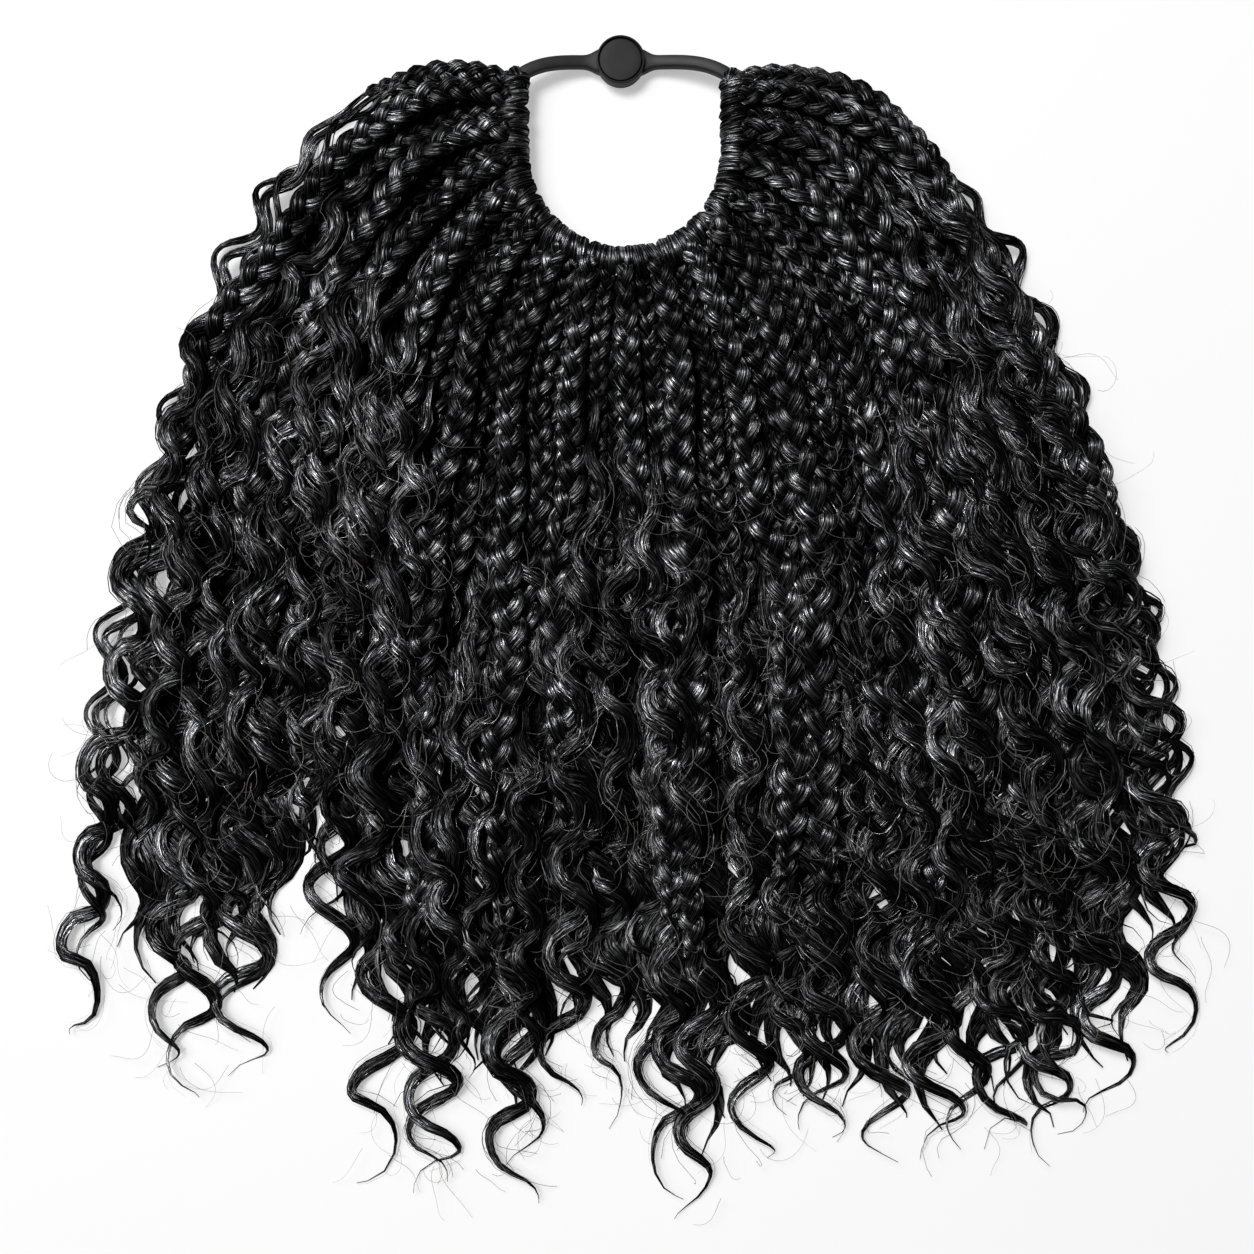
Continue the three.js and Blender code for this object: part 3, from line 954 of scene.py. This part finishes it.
def band_line():
    """The closed centre line of the band and its width: round the rim, then back over the top."""
    rows = []
    for share in np.linspace(0, 1, BAND_ROWS.rim):
        spot, _ = rim(share)
        y = min(spot[1], LOOP.y + LOOP.side - LOOP.corner)
        if not rows or np.hypot(spot[0] - rows[-1][0], y - rows[-1][1]) > BAND_ROWS.least_step:
            rows.append((spot[0], y, LOOP.z, BAND.width))
    end_x = LOOP.half_width - LOOP.corner

    def corner(side, turns):
        x = LOOP.x + side * end_x
        for turn in turns:
            across = side * LOOP.corner * math.cos(turn)
            y = strap_y(x) - LOOP.corner * (1 - math.sin(turn))
            rows.append((x + across, float(y), LOOP.z, BAND.width))

    turns = np.linspace(0, math.pi / 2, BAND_ROWS.corner)[1:-1]
    corner(1, turns)
    strap_z = EYELET.low + BAND.thickness / 2
    for x in LOOP.x + np.linspace(end_x, -end_x, BAND_ROWS.strap):
        near = abs(x - BUTTON.x)
        flare = 1 - smoothstep(near, EYELET.radius - BAND.flare_inside, BAND.flare_reach)
        z = mix(strap_z, LOOP.z, smoothstep(near, EYELET.radius, end_x))
        width = mix(BAND.width, BAND.flare_width, flare**2)
        rows.append((x, float(strap_y(x)), float(z), float(width)))
    corner(-1, turns[::-1])
    return np.array(rows)


def band_section():
    """Flat below, with its two upper edges chamfered and all corners eased."""
    x, y = BAND.chamfer / BAND.width * 2, BAND.chamfer / BAND.thickness * 2
    ease = 0.12
    bulge = 0.35  # less than a half, so that the chamfer's middle stands out
    return np.array(
        [
            (ease - 1, -1),
            (1 - ease, -1),
            (1, ease - 1),
            (1, 1 - y),
            (1 - x * bulge, 1 - y * bulge),
            (1 - x, 1),
            (x - 1, 1),
            (x * bulge - 1, 1 - y * bulge),
            (-1, 1 - y),
            (-1, ease - 1),
        ]
    )


def turned(name, profile, material):
    """A solid turned about the button's axis from rows of radius and height, closed on the axis."""
    points = rings(profile, TURNED.sides) + [BUTTON.x, BUTTON.y, 0.0]
    no_fibres = np.zeros_like(points)
    skin = Skin()
    skin.add(points, no_fibres, no_fibres, 0.0, TURNED.sides)
    return skin.made(name, material)


def rounded(radius, high, edge):
    """The upper edge of a turned wall, rounded over: rows of radius and height."""
    turns = np.linspace(0, math.pi / 2, TURNED.edge_rows)
    return [(radius - edge * (1 - math.cos(a)), high - edge * (1 - math.sin(a))) for a in turns]


def combine(body, other, operation):
    """Joins or cuts one object with another, which is then removed."""
    modifier = body.modifiers.new(operation.lower(), "BOOLEAN")
    modifier.operation = operation
    modifier.solver = "EXACT"
    modifier.object = other
    bpy.context.view_layer.update()
    graph = bpy.context.evaluated_depsgraph_get()
    mesh = bpy.data.meshes.new_from_object(body.evaluated_get(graph))
    body.modifiers.clear()
    body.data = mesh
    bpy.data.objects.remove(other)


def eyelet_wall():
    """The rows of the eyelet and its collar, before it is bored."""
    low = EYELET.low
    foot = [(EYELET.radius - EYELET.ease, low), (EYELET.radius, low + EYELET.ease)]
    top = rounded(EYELET.radius, EYELET.high, EYELET.bevel)
    return [(TURNED.axis, low), *foot, *top, (TURNED.axis, EYELET.high)]


def eyelet_bore():
    """The rows of what is cut out of the eyelet: a hole for the shank and a socket for the cap."""
    shaft = BUTTON.shank + GAP
    socket = BUTTON.cap + EYELET.play
    lip = socket + EYELET.lip
    below = EYELET.low - CUTTER.past
    above = EYELET.high + CUTTER.past
    return [
        (TURNED.axis, below),
        (shaft, below),
        (shaft, EYELET.seat),
        (socket, EYELET.seat),
        (socket, EYELET.high - EYELET.lip),
        (lip, EYELET.high + CUTTER.over),
        (lip, above),
        (TURNED.axis, above),
    ]


def elastic_band(material):
    """The strap, widened into an eyelet with a collar that stands round the button's cap."""
    line = band_line()
    upright = np.tile(UP, (len(line), 1))
    skin = Skin()
    skin.tube(line[:, :3], upright, line[:, 3] / 2, BAND.thickness / 2, band_section(), closed=True)
    band = skin.made("band", material)
    eyelet = turned("eyelet", eyelet_wall(), material)
    bore = turned("bore", eyelet_bore(), material)
    combine(band, eyelet, "UNION")
    combine(band, bore, "DIFFERENCE")
    band.data.shade_smooth()
    band.data.set_sharp_from_angle(angle=SHARP)
    return piece(band, "band", "elastic_band")


def button(material):
    """A base plate, a shank and a flat cap with an eased edge."""
    plate = EYELET.low - GAP
    under = EYELET.seat + GAP
    profile = [(TURNED.axis, 0), (BUTTON.base - BUTTON.edge, 0), (BUTTON.base, BUTTON.edge)]
    profile += [(BUTTON.base, plate), (BUTTON.shank, plate), (BUTTON.shank, under), (BUTTON.cap, under)]
    profile += rounded(BUTTON.cap, BUTTON.height, BUTTON.edge)
    profile += [(BUTTON.cap * BUTTON.top_ring, BUTTON.height), (TURNED.axis, BUTTON.height)]
    made = turned("button_cap", profile, material)
    made.data.set_sharp_from_angle(angle=SHARP)
    return piece(made, "button", "button")


# The floor, the lights and the camera


def staged(name, points, faces, material):
    mesh = bpy.data.meshes.new(name)
    mesh.from_pydata(points, [], faces)
    mesh.materials.append(material)
    made = bpy.data.objects.new(name, mesh)
    bpy.context.scene.collection.objects.link(made)
    return made


def stage():
    """A pale round floor and, far off, a cove that it runs up into and that sheds no light on the hair."""
    turns = np.linspace(0, math.pi / 2, STAGE.bend_rows)
    bend = STAGE.bend
    rows = [(STAGE.radius + bend * math.sin(turn), bend * (1 - math.cos(turn))) for turn in turns]
    rows.append((STAGE.radius + bend, STAGE.height))
    points = rings(rows, STAGE.sides)
    material = floor_material()
    staged("floor", points[: STAGE.sides], [range(STAGE.sides)], material)
    inward = ring_faces(len(rows), STAGE.sides)[:, ::-1]
    cove = staged("cove", points, inward.tolist(), material)
    cove.data.shade_smooth()
    cove.visible_diffuse = False
    cove.visible_glossy = False
    cove.visible_shadow = False


def softbox(name, place, size, power):
    """A square light that faces the middle of the hair."""
    light = bpy.data.lights.new(name, "AREA")
    light.shape = "SQUARE"
    light.size = size
    light.energy = power
    made = bpy.data.objects.new(name, light)
    made.location = place
    made.rotation_euler = (-made.location).to_track_quat("-Z", "Y").to_euler()
    made.visible_camera = False
    bpy.context.scene.collection.objects.link(made)


def studio():
    """Two soft lights from the upper left, and a faint white all round."""
    softbox("key", place=(-1.05, 0.75, 2.0), size=1.6, power=52.0)
    softbox("accent", place=(-0.65, 0.95, 2.2), size=0.75, power=76.0)
    world = bpy.data.worlds.new("studio")
    world.use_nodes = True
    background = world.node_tree.nodes["Background"]
    background.inputs["Color"].default_value = (1, 1, 1, 1)
    background.inputs["Strength"].default_value = 0.012
    bpy.context.scene.world = world
    bpy.context.scene.view_settings.view_transform = "Standard"


def camera():
    """Straight down on the middle of the laid-out hair, with the button at the top."""
    lens = bpy.data.cameras.new("camera")
    lens.angle = 2 * math.atan(CAMERA.half_width / CAMERA.height)
    made = bpy.data.objects.new("camera", lens)
    made.location = (SHIFT + [0, 0, CAMERA.height]) * MM
    bpy.context.scene.collection.objects.link(made)
    bpy.context.scene.camera = made


camera()
studio()
stage()
hair_look = hair_material()
for index in range(BRAIDS):
    braid(index, hair_look)
elastic_band(moulded_material("silicone", dark=0.010, light=0.016, roughness=0.5, grain=3000.0))
button(moulded_material("plastic", dark=0.003, light=0.005, roughness=0.55, grain=4500.0))
